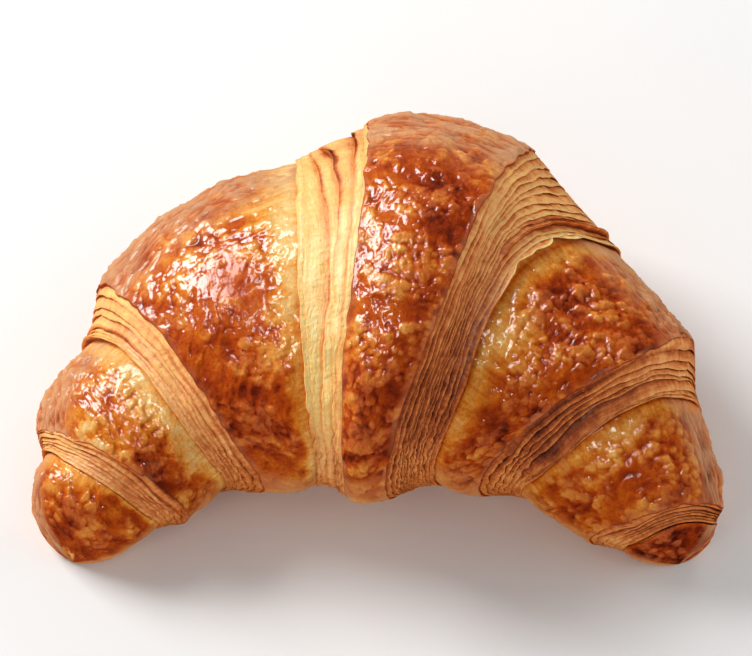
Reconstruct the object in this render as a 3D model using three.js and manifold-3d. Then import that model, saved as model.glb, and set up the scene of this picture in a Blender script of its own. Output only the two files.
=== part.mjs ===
// A butter croissant, lying on its flat base with the horns turned towards -Y.
// It is modelled as it is rolled: each turn of the dough is a closed sleeve whose open end shows a fan of
// laminated leaves, and the next, thinner turn comes out from under that end. The turns are baked into one
// piece, so they are joined into one solid. Millimetres, +Z up, origin under the middle of the whole.
import * as THREE from "three";
import { mergeVertices } from "three/addons/utils/BufferGeometryUtils.js";
import Module from "manifold-3d";

// Cross-sections are upright planes across the roll. x and y place the middle of one, turn is the
// direction of the roll there in degrees from +X, and wide is its width.
const middleCrown = { x: 5.5, y: 1, turn: -12, wide: 86.5 };

// An arm runs outwards from the middle turn, through its fans of leaves and the crowns of the turns
// between them. A fan ends the turn inside it: lip is its top, foot its bottom, and leaves how many show.
// The last turn narrows from its fan through horn to end, where it is rounded off.
const leftArm = {
  outward: -1,
  fans: [
    {
      lip: { x: -4, y: 2, turn: -4, wide: 82.5 },
      foot: { x: -14.5, y: 0, turn: 4, wide: 71 },
      leaves: 5,
    },
    {
      lip: { x: -41, y: -14, turn: 41, wide: 57 },
      foot: { x: -46.5, y: -18.5, turn: 47, wide: 43.5 },
      leaves: 4,
    },
    {
      lip: { x: -55, y: -30.5, turn: 62, wide: 37.5 },
      foot: { x: -57, y: -33, turn: 63, wide: 30 },
      leaves: 3,
    },
  ],
  crowns: [
    { x: -29, y: -5.5, turn: 23, wide: 67 },
    { x: -52, y: -24.5, turn: 57, wide: 41 },
  ],
  horn: { x: -61.3, y: -39, turn: 66, wide: 25.5 },
  end: { x: -64, y: -45.5, turn: 70, wide: 21 },
};
const rightArm = {
  outward: 1,
  fans: [
    {
      lip: { x: 17, y: -1.5, turn: -22, wide: 82.5 },
      foot: { x: 30, y: -8, turn: -37, wide: 65 },
      leaves: 7,
    },
    {
      lip: { x: 43, y: -19.5, turn: -56, wide: 56 },
      foot: { x: 48.5, y: -25.5, turn: -66, wide: 42.5 },
      leaves: 5,
    },
    {
      lip: { x: 57.3, y: -39.5, turn: -77, wide: 30.5 },
      foot: { x: 60.5, y: -41.5, turn: -76, wide: 21.5 },
      leaves: 3,
    },
  ],
  crowns: [
    { x: 36.5, y: -14.5, turn: -46, wide: 60 },
    { x: 53, y: -33, turn: -71, wide: 36.5 },
  ],
  horn: { x: 62, y: -43.5, turn: -76, wide: 19.5 },
  end: { x: 63.5, y: -46, turn: -76, wide: 17 },
};

const heightShareThin = 0.93; // height over width of a very thin section, before the tray cuts it
const heightShareLoss = 0.0023; // lost for each millimetre of width
const sunkShare = 0.92; // how high a section's middle lies, over half its height
const baseSquareness = 2.5; // exponent of the lower half of a section, where 2 is an ellipse

const flapGap = 1.8; // how much narrower the next turn is than the flap it comes out from under
const flapDepth = 4; // how far the crevice under a flap reaches back
const fanHollow = 0.18; // how far a fan is hollowed in its middle, as a share of its drop
const hornRounding = 4; // exponent that rounds off the last turn: a high one leaves it blunt
const leafFall = 0.3; // share of a leaf's step that its face falls by; the rest is its cut edge
const leafUndercut = 0.35; // share of a leaf's length that it overhangs the next one
const leafWander = 0.07; // how far the leaves wander along the fan, as a share of the fan

const lumpSize = 0.55; // height of the soft lumps of the crust
const lumpPitch = 3.4; // their wavelength over two pi
const lumpShareAtSeam = 0.5; // how much of them is left beside a seam and on the horns

const columnsAround = { middle: 52, shoulder: 48, outer: 40, horn: 30 };
const crustRows = { middle: 9, shoulder: 8, outer: 6, horn: 6 };

const traySize = 400; // larger than the croissant each way
const trayThickness = 60;

const radians = THREE.MathUtils.degToRad;
const wasm = await Module();
wasm.setup();

const mix = (a, b, share) => a + (b - a) * share;

// The section part way down a fan: along moves it from the lip to the foot, and fall narrows it.
const fanSection = (lip, foot, along, fall) => ({
  x: mix(lip.x, foot.x, along),
  y: mix(lip.y, foot.y, along),
  turn: mix(lip.turn, foot.turn, along),
  wide: mix(lip.wide, foot.wide, fall + 4 * fanHollow * fall * (1 - fall)),
});

// The section at a share of the way through three sections, on a parabola through each number.
function throughSections(first, middle, last, share) {
  const curve = (a, b, c) => {
    const pull = 4 * b - a - 3 * c;
    const bend = 2 * a - 4 * b + 2 * c;
    return c + (1 - share) * (pull + bend * (1 - share));
  };
  return {
    x: curve(first.x, middle.x, last.x),
    y: curve(first.y, middle.y, last.y),
    turn: curve(first.turn, middle.turn, last.turn),
    wide: curve(first.wide, middle.wide, last.wide),
  };
}

// A section moved along the roll, with another width.
function shifted(section, distance, wide) {
  const heading = radians(section.turn);
  return {
    x: section.x + distance * Math.cos(heading),
    y: section.y + distance * Math.sin(heading),
    turn: section.turn,
    wide,
  };
}

// A point on the rim of a section: angle 0 faces the inside of the crescent, and a quarter turn is up.
function rimPoint(section, angle, proud = 0) {
  const halfWide = section.wide / 2;
  const halfTall = halfWide * (heightShareThin - heightShareLoss * section.wide);
  const power = Math.sin(angle) < 0 ? 2 / baseSquareness : 1;
  const bent = (value) => Math.sign(value) * Math.abs(value) ** power;
  const grown = halfWide > 0 ? 1 + proud / halfWide : 1;
  const out = halfWide * grown * bent(Math.cos(angle));
  const up = halfTall * (sunkShare + grown * bent(Math.sin(angle)));
  const heading = radians(section.turn);
  return new THREE.Vector3(
    section.x + out * Math.sin(heading),
    section.y - out * Math.cos(heading),
    up,
  );
}

// Soft lumps of the crust, from three crossed waves.
function lump({ x, y, z }) {
  const first = Math.sin(x / lumpPitch + 1.2 * Math.sin(y / 5.1));
  const second = Math.sin((y - 0.6 * z) / lumpPitch + 1.4 * Math.sin(x / 4.3 + 2));
  const third = Math.sin((z + 0.5 * x) / lumpPitch + 1.1 * Math.sin(y / 4.7 + 1));
  return (lumpSize / 3) * (first + second + third + first * second);
}

// A row of crust, raised by its lumps.
const crustRow = (section, lumpShare = 1) => (angle) =>
  rimPoint(section, angle, lumpShare * lump(rimPoint(section, angle)));

const plainRow = (section) => (angle) => rimPoint(section, angle);

// The rows between two sections of a turn that pass through its crown.
const crownRows = (first, crown, last, count) =>
  Array.from({ length: count }, (_, row) =>
    crustRow(throughSections(first, crown, last, (row + 1) / (count + 1))),
  );

// The rows down a fan, from its lip to its foot, and back in behind it. Each leaf is a face that falls
// a little and then a cut edge that drops under it to the next leaf.
function fanRows({ lip, foot, leaves }, outward) {
  const edgeAt = (leaf, angle) => {
    if (leaf === leaves) return 1;
    const phase = leaf * 2.1 + lip.x;
    const wave = Math.sin(2 * angle + phase) + 0.7 * Math.sin(5 * angle + 2 * phase);
    return leaf / leaves + leafWander * wave;
  };
  const rows = [];
  for (let leaf = 0; leaf < leaves; leaf += 1) {
    const faceFall = (leaf + leafFall) / leaves;
    const nextFall = (leaf + 1) / leaves;
    rows.push((angle) => rimPoint(fanSection(lip, foot, edgeAt(leaf + 1, angle), faceFall), angle));
    if (leaf < leaves - 1) {
      const underAt = (angle) => edgeAt(leaf + 1, angle) - leafUndercut / leaves;
      rows.push((angle) => rimPoint(fanSection(lip, foot, underAt(angle), nextFall), angle));
    }
  }
  const under = shifted(foot, -outward * flapDepth, foot.wide - 2 * flapGap);
  return [...rows, plainRow(under), plainRow({ ...under, wide: 0 })];
}

// The hidden root of a turn, under the flap of the fan inside it, and the first row that shows.
function rootRows({ foot }, outward) {
  const start = { ...foot, wide: foot.wide - flapGap };
  const root = shifted(start, -outward * 2.5 * flapDepth, 0);
  const hidden = shifted(start, -outward * 1.3 * flapDepth, start.wide - 2 * flapGap);
  return { start, rows: [plainRow(root), plainRow(hidden), crustRow(start, lumpShareAtSeam)] };
}

// A closed sleeve over a list of rows: a sphere's mesh, with each of its rings laid on a row.
function sleeve(rows, columns, outward) {
  const geometry = new THREE.SphereGeometry(1, columns, rows.length - 1);
  const places = geometry.getAttribute("position");
  for (let index = 0; index < places.count; index += 1) {
    const row = Math.floor(index / (columns + 1));
    const column = (index % (columns + 1)) % columns;
    const point = rows[row]((outward * 2 * Math.PI * column) / columns);
    places.setXYZ(index, point.x, point.y, point.z);
  }
  return toSolid(geometry);
}

function toSolid(geometry) {
  geometry.deleteAttribute("normal");
  geometry.deleteAttribute("uv");
  const merged = mergeVertices(geometry);
  return new wasm.Manifold(
    new wasm.Mesh({
      numProp: 3,
      vertProperties: merged.getAttribute("position").array,
      triVerts: new Uint32Array(merged.index.array),
    }),
  );
}

// The middle turn, with a fan at each end.
function middleSleeve() {
  const [leftFan, rightFan] = [leftArm.fans[0], rightArm.fans[0]];
  const rows = [
    ...fanRows(leftFan, leftArm.outward).reverse(),
    crustRow(leftFan.lip, lumpShareAtSeam),
    ...crownRows(leftFan.lip, middleCrown, rightFan.lip, crustRows.middle),
    crustRow(rightFan.lip, lumpShareAtSeam),
    ...fanRows(rightFan, rightArm.outward),
  ];
  return sleeve(rows, columnsAround.middle, rightArm.outward);
}

// A turn of an arm: it comes out from under one fan and ends in the next.
function armSleeve({ fans, crowns, outward }, turn, size) {
  const { start, rows } = rootRows(fans[turn], outward);
  const fan = fans[turn + 1];
  rows.push(
    ...crownRows(start, crowns[turn], fan.lip, crustRows[size]),
    crustRow(fan.lip, lumpShareAtSeam),
    ...fanRows(fan, outward),
  );
  return sleeve(rows, columnsAround[size], outward);
}

// The last turn of an arm, closed in a blunt point.
function hornSleeve({ fans, horn, end, outward }) {
  const { start, rows } = rootRows(fans.at(-1), outward);
  for (let row = 1; row < crustRows.horn; row += 1) {
    const share = Math.sin(((Math.PI / 2) * row) / crustRows.horn);
    const section = throughSections(start, horn, end, share);
    section.wide *= Math.sqrt(1 - share ** hornRounding);
    rows.push(crustRow(section, lumpShareAtSeam));
  }
  rows.push(plainRow({ ...end, wide: 0 }));
  return sleeve(rows, columnsAround.horn, outward);
}

const armSleeves = (arm) => [armSleeve(arm, 0, "shoulder"), armSleeve(arm, 1, "outer"), hornSleeve(arm)];

// The baking tray, which flattens whatever would reach below it.
function tray() {
  const box = new THREE.BoxGeometry(traySize, traySize, trayThickness);
  box.translate(0, 0, -trayThickness / 2);
  return toSolid(box);
}

function toGeometry(manifold) {
  const mesh = manifold.getMesh();
  const geometry = new THREE.BufferGeometry();
  geometry.setAttribute("position", new THREE.BufferAttribute(mesh.vertProperties, 3));
  geometry.setIndex(new THREE.BufferAttribute(mesh.triVerts, 1));
  geometry.computeBoundingBox();
  const { min, max } = geometry.boundingBox;
  geometry.translate(-(min.x + max.x) / 2, -(min.y + max.y) / 2, -min.z);
  geometry.computeVertexNormals();
  return geometry;
}

const turns = [middleSleeve(), ...armSleeves(leftArm), ...armSleeves(rightArm)];
const baked = turns.reduce((whole, turn) => whole.add(turn)).subtract(tray());

const crust = new THREE.MeshStandardMaterial({ color: 0xc0702a, roughness: 0.45, metalness: 0 });
const croissant = new THREE.Mesh(toGeometry(baked), crust);
croissant.name = "croissant";

const part = new THREE.Group();
part.add(croissant);
export default part;
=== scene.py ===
# A butter croissant on a pale table, seen from above the hollow of its crescent.
import math
import bmesh
import bpy
import numpy as np
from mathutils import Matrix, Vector


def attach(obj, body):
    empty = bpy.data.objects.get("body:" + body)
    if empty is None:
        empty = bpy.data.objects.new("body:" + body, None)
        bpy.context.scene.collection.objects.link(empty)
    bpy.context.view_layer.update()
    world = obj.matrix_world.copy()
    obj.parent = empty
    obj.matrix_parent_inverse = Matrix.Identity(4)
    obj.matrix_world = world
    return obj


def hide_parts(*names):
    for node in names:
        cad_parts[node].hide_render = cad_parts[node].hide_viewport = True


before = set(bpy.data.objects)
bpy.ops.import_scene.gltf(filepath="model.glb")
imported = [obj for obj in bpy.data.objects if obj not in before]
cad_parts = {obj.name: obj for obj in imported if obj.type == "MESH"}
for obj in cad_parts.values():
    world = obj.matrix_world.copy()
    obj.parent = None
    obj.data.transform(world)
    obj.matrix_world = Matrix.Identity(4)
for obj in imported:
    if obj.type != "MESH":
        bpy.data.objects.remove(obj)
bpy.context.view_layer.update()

mm = 0.001

# The rolled shape. A section is an upright plane across the roll: x, y and turn place it, wide is its width.
# These are the sizes of the CAD model, before its middle is moved to the origin.
shape = {
    "middleOfWhole": (0.08, -1.03, 0),
    "heightShareThin": 0.93,
    "heightShareLoss": 0.0023,
    "sunkShare": 0.92,
    "baseSquareness": 2.5,
    "fanHollow": 0.18,
    "flapGap": 1.8,
    "flapDepth": 4,
    "hornRounding": 4,
    "gathering": 0.35,  # how much closer the columns are on top than underneath
    "lumpSize": 0.55,
    "lumpPitch": 3.4,
}


def section(x, y, turn, wide):
    return np.array([x, y, turn, wide], float)


middleCrown = section(5.5, 1, -12, 86.5)
leftArm = {
    "side": "left",
    "outward": -1,
    "lips": [section(-4, 2, -4, 82.5), section(-41, -14, 41, 57), section(-55, -30.5, 62, 37.5)],
    "feet": [section(-14.5, 0, 4, 71), section(-46.5, -18.5, 47, 43.5), section(-57, -33, 63, 30)],
    "crowns": [section(-29, -5.5, 23, 67), section(-52, -24.5, 57, 41)],
    "horn": section(-61.3, -39, 66, 25.5),
    "end": section(-64, -45.5, 70, 21),
    "lipSlides": [(-1.5, 0.4, 1.6, -0.1, -0.8, -0.5, 0, 0), (0, 5.6, 5.6, 3.7, 1.9, 1.3, 0.5, 0),
                  (1.2, 3.4, 4.4, 3.6, 3.3, 3, 2, 0.8)],
    "footSlides": [(0, 4.6, 4.4, 2.8, 1.4, 0.6, 0.2, 0), (0, 5.2, 4.9, 3, 0.8, -0.5, 0, 0),
                   (0.8, 4.4, 4.7, 4.5, 4, 3, 1.2, 0)],
}
rightArm = {
    "side": "right",
    "outward": 1,
    "lips": [section(17, -1.5, -22, 82.5), section(43, -19.5, -56, 56), section(57.3, -39.5, -77, 30.5)],
    "feet": [section(30, -8, -37, 65), section(48.5, -25.5, -66, 42.5), section(60.5, -41.5, -76, 21.5)],
    "crowns": [section(36.5, -14.5, -46, 60), section(53, -33, -71, 36.5)],
    "horn": section(62, -43.5, -76, 19.5),
    "end": section(63.5, -46, -76, 17),
    "lipSlides": [(-0.5, 1, 1.8, 1.7, 0.6, 0.8, 1.6, 1), (0, 6, 6.6, 5.5, 4.9, 3.5, 2, 1),
                  (1, 4.2, 5.6, 5.3, 4.4, 3.9, 3.4, 2.2)],
    "footSlides": [(2.2, 3.8, 2.2, -2.8, -4, -1.4, 2.5, 3), (0, 4.4, 4.9, 3.4, 2.1, 1.2, 1.6, 1.5),
                   (1, 3.1, 3.5, 3.3, 3.1, 3.2, 3.3, 2.2)],
}
# The seams bow out of their planes. A slide is how far towards the horn one lies, in mm, at these degrees.
slideDegrees = (-20, 20, 45, 70, 95, 120, 145, 175)

# Noise on points in millimetres. Every field is seeded, so each run gives the same crust.
pattern = {
    "seed": 7,
    "gain": 1.6,  # brings the soft noise to about -1 to 1
    "start": 97.3,  # in cells, so that the origin is no corner of one
    "domeStart": 53.1,
    "domePlaces": (0.1, 0.9),  # shares of a cell
    "domeReaches": (0.4, 0.85),
    "domeEvenness": 0.7,
}
dice = np.random.default_rng(pattern["seed"])
shuffled = np.tile(dice.permutation(256), 3)
slopes = dice.normal(size=(256, 3))
slopes /= np.linalg.norm(slopes, axis=1, keepdims=True)
jitter = dice.uniform(*pattern["domePlaces"], size=(256, 3))
reaches = dice.uniform(*pattern["domeReaches"], size=256)
heights = dice.uniform(0.0, 1.0, size=256) ** pattern["domeEvenness"]


def pick(cell, seed):
    x, y, z = (cell[..., k] & 255 for k in range(3))
    return shuffled[shuffled[shuffled[(x + seed) & 255] + y] + z]


def noise(points, size, seed=0):  # -1 to 1, in soft bumps about size across
    scaled = points / size + pattern["start"]
    cell = np.floor(scaled).astype(int)
    inside = scaled - cell
    fade = inside ** 3 * (inside * (inside * 6 - 15) + 10)
    total = 0
    for corner in np.ndindex(2, 2, 2):
        reach = np.sum(slopes[pick(cell + corner, seed)] * (inside - corner), axis=-1)
        weight = np.prod(np.where(np.array(corner) == 1, fade, 1 - fade), axis=-1)
        total = total + weight * reach
    return pattern["gain"] * total


def layered(points, size, layers, seed=0):
    return sum(0.5 ** k * noise(points, size * 0.5 ** k, seed + 11 * k) for k in range(layers))


def domes(points, size, seed=0):  # round blisters: 0 between them, up to 1 on the top of one
    scaled = points / size + pattern["domeStart"]
    cell = np.floor(scaled).astype(int)
    inside = scaled - cell
    best = np.zeros(points.shape[:-1])
    for step in np.ndindex(3, 3, 3):
        offset = np.array(step) - 1
        key = pick(cell + offset, seed)
        gap = np.sum((offset + jitter[key] - inside) ** 2, axis=-1) / reaches[key] ** 2
        best = np.maximum(best, heights[key] * np.sqrt(np.clip(1 - gap, 0, 1)))
    return best


def ringNoise(angles, radius, size, seed=0):  # noise round a ring, which meets itself
    ring = np.stack([radius * np.cos(angles), radius * np.sin(angles), 0 * angles + 7.7 * seed], axis=-1)
    return noise(ring, size, seed)


def smoothStep(low, high, value):
    share = np.clip((value - low) / (high - low), 0, 1)
    return share * share * (3 - 2 * share)


def bell(value, middle, width):
    return np.exp(-((value - middle) / width) ** 2)


# Geometry of the roll, for arrays of sections.
def throughSections(first, middle, last, share):
    share = np.asarray(share)[..., None]
    pull = 4 * middle - first - 3 * last
    bend = 2 * first - 4 * middle + 2 * last
    return last + (1 - share) * (pull + bend * (1 - share))


def fanSections(lip, foot, along, fall):
    places = lip + (foot - lip) * along[..., None]
    hollow = fall + 4 * shape["fanHollow"] * fall * (1 - fall)
    places[..., 3] = lip[..., 3] + (foot[..., 3] - lip[..., 3]) * hollow
    return places


def bowed(angles, slides):  # a seam's slides, read round the roll and smoothed
    line = np.interp(np.degrees(angles), (-60, *slideDegrees, 215), (0, *slides, 0))
    reach = len(angles) // 20
    weights = np.hanning(2 * reach + 1)
    return np.convolve(np.pad(line, reach, mode="edge"), weights / weights.sum(), mode="valid")


def shareAt(first, middle, last, distance, fromEnd):  # the share of the way that lies a distance from an end
    shares = np.linspace(-0.7, 1.7, 241)
    places = throughSections(first, middle, last, shares)
    steps = np.linalg.norm(np.diff(places[:, :2], axis=0), axis=-1)
    along = np.concatenate([[0], np.cumsum(steps)])
    return np.interp(np.interp(1 if fromEnd else 0, shares, along) + distance, along, shares)


def turnEnds(arm, seam):  # the three sections of the turn that comes out from under a seam
    crown = arm["crowns"][seam] if seam < 2 else arm["horn"]
    last = arm["lips"][seam + 1] if seam < 2 else arm["end"]
    return arm["feet"][seam], crown, last


def seamLip(arm, seam, angles):  # the edge of the crust above a seam, section by section round the roll
    slide = bowed(angles, arm["lipSlides"][seam])
    if seam == 0:
        other = rightArm if arm is leftArm else leftArm
        ends = (other["lips"][0], middleCrown, arm["lips"][0])
    else:
        ends = turnEnds(arm, seam - 1)
    return throughSections(*ends, shareAt(*ends, slide, True))


def seamFoot(arm, seam, angles):  # the foot of its fan
    ends = turnEnds(arm, seam)
    return throughSections(*ends, shareAt(*ends, bowed(angles, arm["footSlides"][seam]), False))


def slid(places, distance):  # sections moved along the roll
    moved = np.array(places, float)
    heading = np.radians(moved[..., 2])
    moved[..., 0] += distance * np.cos(heading)
    moved[..., 1] += distance * np.sin(heading)
    return moved


def narrowed(places, loss):
    thinner = np.array(places, float)
    thinner[..., 3] = np.maximum(thinner[..., 3] - loss, 0)
    return thinner


def rimPoints(places, angles, proud=0.0):
    x, y, turn, wide = np.moveaxis(places, -1, 0)
    tallShare = shape["heightShareThin"] - shape["heightShareLoss"] * wide
    power = np.where(np.sin(angles) < 0, 2 / shape["baseSquareness"], 1)
    side = np.sign(np.cos(angles)) * np.abs(np.cos(angles)) ** power
    rise = np.sign(np.sin(angles)) * np.abs(np.sin(angles)) ** power
    reach = np.maximum(wide / 2 + proud, 0)
    heading = np.radians(turn)
    up = tallShare * (wide / 2 * shape["sunkShare"] + reach * rise)
    return np.stack([x + reach * side * np.sin(heading), y - reach * side * np.cos(heading), up], axis=-1)


def lump(points):  # the soft lumps of the crust that the CAD model has too
    x, y, z = np.moveaxis(points, -1, 0)
    pitch = shape["lumpPitch"]
    first = np.sin(x / pitch + 1.2 * np.sin(y / 5.1))
    second = np.sin((y - 0.6 * z) / pitch + 1.4 * np.sin(x / 4.3 + 2))
    third = np.sin((z + 0.5 * x) / pitch + 1.1 * np.sin(y / 4.7 + 1))
    return shape["lumpSize"] / 3 * (first + second + third + first * second)


def columnAngles(columns):  # from the middle of the base, round the inside of the crescent and over the top
    turn = np.linspace(0, 2 * math.pi, columns + 1)
    return turn + shape["gathering"] * np.sin(turn) - math.pi / 2


# The underside, flattened by the tray
baseLook = {
    "edgeRadius": 1.2,  # mm
    "sink": 0.15,
}


# A grid of points becomes a closed piece: its two long edges meet, and its ends run to a point inside.
def layPiece(name, points, looks, material):
    rows, columns = points.shape[:2]
    sheet = bmesh.new()
    bmesh.ops.create_grid(sheet, x_segments=columns - 1, y_segments=rows - 1, size=1)
    mesh = bpy.data.meshes.new(name)
    sheet.to_mesh(mesh)
    sheet.free()
    flat = np.empty(len(mesh.vertices) * 3, np.float32)
    mesh.vertices.foreach_get("co", flat)
    flat = (flat.reshape(-1, 3) + 1) / 2
    column = np.rint(flat[:, 0] * (columns - 1)).astype(int)
    row = np.rint(flat[:, 1] * (rows - 1)).astype(int)
    placed = points - shape["middleOfWhole"]
    low = placed[..., 2]
    aboveTray = 0.5 * (low + np.sqrt(low ** 2 + baseLook["edgeRadius"] ** 2)) - baseLook["sink"]
    placed[..., 2] = np.maximum(aboveTray, 0)
    mesh.vertices.foreach_set("co", (placed[row, column] * mm).astype(np.float32).ravel())
    for key, values in looks.items():
        isVector = values.ndim == 3
        layer = mesh.attributes.new(key, "FLOAT_VECTOR" if isVector else "FLOAT", "POINT")
        chosen = values[row, column].astype(np.float32)
        layer.data.foreach_set("vector" if isVector else "value", chosen.ravel())
    shell = bmesh.new()
    shell.from_mesh(mesh)
    rim = [corner for corner in shell.verts if corner.is_boundary]
    bmesh.ops.remove_doubles(shell, verts=rim, dist=1e-7)
    bmesh.ops.recalc_face_normals(shell, faces=shell.faces)
    for face in shell.faces:
        face.smooth = True
    shell.to_mesh(mesh)
    shell.free()
    mesh.materials.append(material)
    piece = bpy.data.objects.new(name, mesh)
    bpy.context.scene.collection.objects.link(piece)
    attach(piece, "root")
    print(name, len(mesh.polygons), "faces")
    return piece


# The crust of each turn: sizes and heights in mm, browning from 0 to 1
crustLook = {
    "blisterSize": 2.9,
    "smallerBlisters": (0.56, 0.32),  # as shares of that
    "blisterHeights": (0.42, 0.30, 0.13),
    "warpSize": 3.1,
    "clusterSizes": (8, 3.5),
    "wrinkleSize": 4.2,
    "wrinkleHeight": 0.36,
    "rimDegrees": 122,  # past this the crust is matte and wrinkled along the roll
    "rimWrinkleHeight": 0.44,
    "crumpleSize": 9,
    "grainSize": 1.3,
    "grainHeight": 0.05,
    "swellSize": 6.5,
    "swellHeight": 0.4,
    "settle": 0.35,  # how far the whole relief is let in
    "topPalenessAndLight": 0.2,  # how much paler the tops of the blisters are: partly their matte tan, partly painted light on the raised tops
    # how much darker the hollows between blisters are, with painted shade
    "valleyShade": 0.15,
    "bottomTone": 0.4,
    "lipThickness": 0.8,
}


def crustRelief(points, strand, degrees, look):
    warp = np.stack([noise(points, crustLook["warpSize"], seed) for seed in (21, 22, 23)], axis=-1)
    size = crustLook["blisterSize"]
    middlingShare, smallShare = crustLook["smallerBlisters"]
    big = domes(points + 1.1 * warp, size, 31)
    middling = domes(points + 0.7 * warp, middlingShare * size, 35)
    small = domes(points + 0.4 * warp, smallShare * size, 37)
    broadSize, narrowSize = crustLook["clusterSizes"]
    crowding = noise(points, broadSize, 53) + 0.4 * noise(points, narrowSize, 54)
    clustered = smoothStep(-0.3, 0.25, crowding + look.get("clustered", 0.1))
    pitch = crustLook["wrinkleSize"]
    acrossStretch = np.array([1 / look.get("wrinkle", 1.5), 1.2, 1])
    alongStretch = np.array([2.2, look.get("rimStretch", 0.4), 1])
    across = 1 - 2 * np.abs(layered(strand * acrossStretch + 0.8 * warp, pitch, 3, 41))
    along = 2 * np.abs(layered(strand * alongStretch + 0.7 * warp, pitch, 3, 43)) - 0.6
    rimDegrees = look.get("rimDegrees", crustLook["rimDegrees"])
    onRim = smoothStep(rimDegrees - 12, rimDegrees + 12, degrees)
    grain = 1 - 2 * np.abs(layered(points, crustLook["grainSize"], 2, 51))
    crumpled = 0.35 + 0.65 * smoothStep(-0.45, 0.35, noise(points, crustLook["crumpleSize"], 59))
    bigHeight, middlingHeight, smallHeight = crustLook["blisterHeights"]
    blistered = bigHeight * big + middlingHeight * middling + smallHeight * small
    height = look.get("blisters", 1) * clustered * (1 - 0.45 * onRim) * blistered
    height = height + crumpled * crustLook["wrinkleHeight"] * look.get("rough", 1) * across * (1 - onRim)
    height = height + crustLook["rimWrinkleHeight"] * along * onRim
    height = height + crumpled * crustLook["grainHeight"] * grain
    height = height + crustLook["swellHeight"] * noise(points, crustLook["swellSize"], 63)
    return {
        "height": height - crustLook["settle"],
        "lumps": clustered * (0.5 * big + 0.45 * middling + 0.2 * small),
        "clustered": clustered,
        "wrinkles": across * (1 - onRim) + along * onRim,
        "along": along,
        "onRim": onRim,
    }


def crackDepth(degrees, share, roundMm, alongMm, crack, points):  # 1 in a crack, 0 away from it
    line, width = crack[:2]
    spot = np.stack([degrees * roundMm + 0 * share, share * alongMm], axis=-1)
    spot = spot + 0.5 * np.stack([noise(points, 2.5, seed) for seed in (91, 92)], axis=-1)
    corners = [np.stack([at * roundMm + 0 * alongMm[0], along * alongMm[0]], axis=-1) for at, along in line]
    nearest = np.full(spot.shape[:-1], 99.0)
    for start, end in zip(corners[:-1], corners[1:]):
        way = end - start
        part = np.clip(np.sum((spot - start) * way, axis=-1) / np.sum(way * way, axis=-1), 0, 1)
        nearest = np.minimum(nearest, np.linalg.norm(spot - start - part[..., None] * way, axis=-1))
    return np.exp(-(nearest / width) ** 2)


def crustSections(ends, arm, seam, angles, rows):  # from the fan's foot to the lip or the horn's tip
    first, crown, last = ends
    isHorn = seam == 2
    step = np.linspace(0, 1, rows)[:, None]
    frayed = 0.5 * ringNoise(angles, crown[3] / 2, 5, 3) + 0.14 * ringNoise(angles, crown[3] / 2, 2.2, 5)
    if arm:
        begin = shareAt(first, crown, last, bowed(angles, arm["footSlides"][seam]), False)
    else:
        begin = shareAt(first, crown, last, -bowed(angles, leftArm["lipSlides"][0]) - frayed, False)
    if isHorn:
        share = begin + (1 - begin) * np.sin(step * math.pi / 2)
    else:
        slides = arm["lipSlides"][seam + 1] if arm else rightArm["lipSlides"][0]
        share = begin + (shareAt(first, crown, last, bowed(angles, slides) + frayed, True) - begin) * step
    places = throughSections(first, crown, last, share)
    if isHorn:
        places[..., 3] *= np.sqrt(np.clip(1 - np.abs(share) ** shape["hornRounding"], 0, 1))
    return places


def spotShape(surface, spot, wobble=1):  # 1 in the middle of a spot on the crust, fading over its reach
    around, at, reachRound, reachAlong = spot[:4]
    gapRound = (surface["degrees"] - around) * math.pi / 180 * surface["wide"] / 2 / (reachRound * wobble)
    gapAlong = (surface["step"] - at) * surface["fromStart"][-1:] / (reachAlong * wobble)
    return np.exp(-gapRound ** 2 - gapAlong ** 2)


def paleZone(surface, look, tone, glaze):  # where the last flap kept the dough from browning
    plain, strand, fromStart = surface["plain"], surface["strand"], surface["fromStart"]
    stretch = 1 + 0.55 * layered(plain, 8, 3, 73) + 0.2 * noise(strand * np.array([1, 0.1, 1]), 1.1, 75)
    reach = look["pale"] * np.interp(surface["degrees"], *look["paleReach"]) * stretch
    pale = 1 - smoothStep(0.1, 1.5, fromStart / reach)
    streaks = 0.1 * noise(strand * np.array([1, 0.12, 1]), 0.7, 75)
    paleTone = look.get("paleTone", 0.08) + 0.06 * noise(plain, 4, 77) + streaks
    tone = tone * (1 - 0.9 * pale) + paleTone * pale
    # Painted shade under the flap: the crust is darkened nearest the fan's foot.
    tone = tone + look.get("creaseShadeTone", 0.3) * np.exp(-fromStart / look.get("creaseShadeReach", 0.7))
    return tone, glaze * (0.6 + 0.4 * smoothStep(0, 4, fromStart))


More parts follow.
